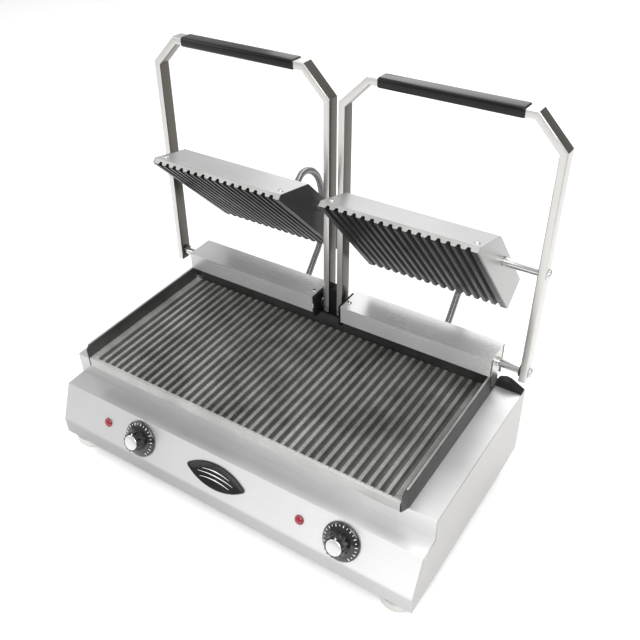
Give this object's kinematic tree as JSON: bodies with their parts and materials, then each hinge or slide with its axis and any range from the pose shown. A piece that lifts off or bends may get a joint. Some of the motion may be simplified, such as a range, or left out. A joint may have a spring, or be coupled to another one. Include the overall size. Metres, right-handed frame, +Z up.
{
  "type": "panini press",
  "caption": "Double contact grill with a ribbed lower plate, ribbed upper heads on sprung arms, hinge boxes, lamps and dials.",
  "frame": {"origin": "on the surface the grill stands on, under the middle of its bounding box with the arms open", "axes": "+Z up, +Y from the front to the back, +X to the right seen from the front"},
  "size_m": [0.621, 0.4236, 0.5378],
  "materials": {
    "stainless": "satin",
    "arm_steel": "satin",
    "bright_steel": "polished",
    "cap_steel": "satin",
    "zinc_sheet": "dull",
    "spring_steel": "oiled",
    "conduit_steel": "wound strip",
    "lower_iron": "machined and seasoned",
    "upper_iron": "seasoned",
    "heater_tube": "heat-darkened",
    "lamp_red": "clear lens",
    "badge_black": "gloss",
    "foot_rubber": "matt",
    "black_rubber": "matt",
    "black_plastic": "matt",
    "white_plastic": "matt",
    "black_steel": "satin black",
    "bronze": "oiled",
    "grip_black": "gloss",
    "dial_black": "gloss"
  },
  "bodies": {
    "base": {"housing_shell": "stainless", "bottom_panel": "zinc_sheet", "rear_panel": "stainless", "lower_plate": "lower_iron", "lower_elements": "heater_tube", "element_clamps": "zinc_sheet", "heat_shield": "zinc_sheet", "thermostats": "zinc_sheet", "indicator_lamps": "lamp_red", "badge_plate": "badge_black", "feet": "foot_rubber", "foot_screws": "zinc_sheet", "corner_blocks": "black_rubber", "cord_gland": "black_plastic", "terminal_block": "white_plastic", "outer_brackets": "arm_steel", "inner_brackets": "black_steel", "hinge_bushes": "bronze", "centre_block": "black_steel", "box_screws": "bright_steel", "conduit_grommets": "black_rubber", "left_side_panel": "stainless", "right_side_panel": "stainless", "left_box_cover": "stainless", "right_box_cover": "stainless", "left_conduit": "conduit_steel", "right_conduit": "conduit_steel", "left_spring": "spring_steel", "right_spring": "spring_steel"},
    "left_arm": {"left_arm_frame": "arm_steel", "left_grip": "grip_black", "left_hinge_shaft": "bright_steel", "left_hinge_washers": "black_plastic", "left_pivot_rod": "bright_steel", "left_dome_nuts": "bright_steel"},
    "left_head": {"left_head_cover": "stainless", "left_head_sides": "stainless", "left_upper_plate": "upper_iron", "left_upper_element": "heater_tube", "left_head_screws": "bright_steel", "left_head_gland": "bright_steel"},
    "left_knob": {"left_dial": "dial_black", "left_dial_cap": "cap_steel", "left_dial_spindle": "zinc_sheet"},
    "right_arm": {"right_arm_frame": "arm_steel", "right_grip": "grip_black", "right_hinge_shaft": "bright_steel", "right_hinge_washers": "black_plastic", "right_pivot_rod": "bright_steel", "right_dome_nuts": "bright_steel"},
    "right_head": {"right_head_cover": "stainless", "right_head_sides": "stainless", "right_upper_plate": "upper_iron", "right_upper_element": "heater_tube", "right_head_screws": "bright_steel", "right_head_gland": "bright_steel"},
    "right_knob": {"right_dial": "dial_black", "right_dial_cap": "cap_steel", "right_dial_spindle": "zinc_sheet"}
  },
  "joints": [
    {"name": "left_arm_hinge", "type": "hinge", "parent": "base", "child": "left_arm", "pos_m": [0, 0.1106, 0.1815], "axis": [1, 0, 0], "range_deg": [0, 92.5], "stiffness_Nm_per_rad": 1.2, "springref_deg": -20.05, "deforming": ["left_spring", "left_conduit"]},
    {"name": "left_head_pivot", "type": "hinge", "parent": "left_arm", "child": "left_head", "pos_m": [0, 0.11734, 0.33585], "axis": [1, 0, 0], "range_deg": [-46, 0]},
    {"name": "right_arm_hinge", "type": "hinge", "parent": "base", "child": "right_arm", "pos_m": [0, 0.1106, 0.1815], "axis": [1, 0, 0], "range_deg": [0, 92.5], "stiffness_Nm_per_rad": 1.2, "springref_deg": -20.05, "deforming": ["right_spring", "right_conduit"]},
    {"name": "right_head_pivot", "type": "hinge", "parent": "right_arm", "child": "right_head", "pos_m": [0, 0.11734, 0.33585], "axis": [1, 0, 0], "range_deg": [-42, 0]},
    {"name": "left_dial_turn", "type": "hinge", "parent": "base", "child": "left_knob", "pos_m": [-0.1475, -0.1854, 0.07075], "axis": [0, 0.9179, -0.3969], "range_deg": [0, 270]},
    {"name": "right_dial_turn", "type": "hinge", "parent": "base", "child": "right_knob", "pos_m": [0.1925, -0.1854, 0.07075], "axis": [0, 0.9179, -0.3969], "range_deg": [0, 270]}
  ],
  "couplings": [
    {"joint": "left_head_pivot", "follows": "left_arm_hinge", "ratio": -0.49189},
    {"joint": "right_head_pivot", "follows": "right_arm_hinge", "ratio": -0.44865}
  ]
}
